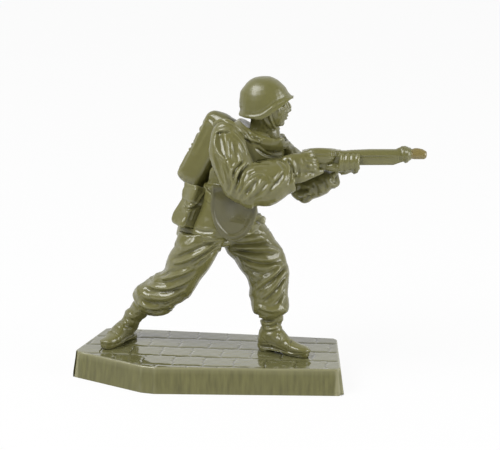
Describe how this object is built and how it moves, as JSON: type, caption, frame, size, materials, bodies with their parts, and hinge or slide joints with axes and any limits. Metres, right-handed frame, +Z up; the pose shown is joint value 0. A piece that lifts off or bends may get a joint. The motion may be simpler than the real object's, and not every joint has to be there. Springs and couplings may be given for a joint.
{
  "type": "toy soldier figure",
  "caption": "Moulded plastic infantryman in a lunging stance on a paved plinth, aiming a carbine forward, with helmet, backpack and hip kit.",
  "frame": {"origin": "middle of the plinth's underside", "axes": "+X along the barrel, the way the figure faces, +Z up"},
  "size_m": [0.0565, 0.0218, 0.0494],
  "materials": {
    "figure_plastic": "glossy olive, as moulded",
    "base_plastic": "satin to glossy olive, as moulded"
  },
  "bodies": {
    "root": {"base_plate": "base_plastic", "right_leg": "figure_plastic", "left_leg": "figure_plastic", "jacket": "figure_plastic", "head": "figure_plastic", "helmet": "figure_plastic", "right_arm": "figure_plastic", "left_arm": "figure_plastic", "rifle": "figure_plastic", "backpack": "figure_plastic", "haversack": "figure_plastic", "spade_cover": "figure_plastic"}
  },
  "joints": []
}
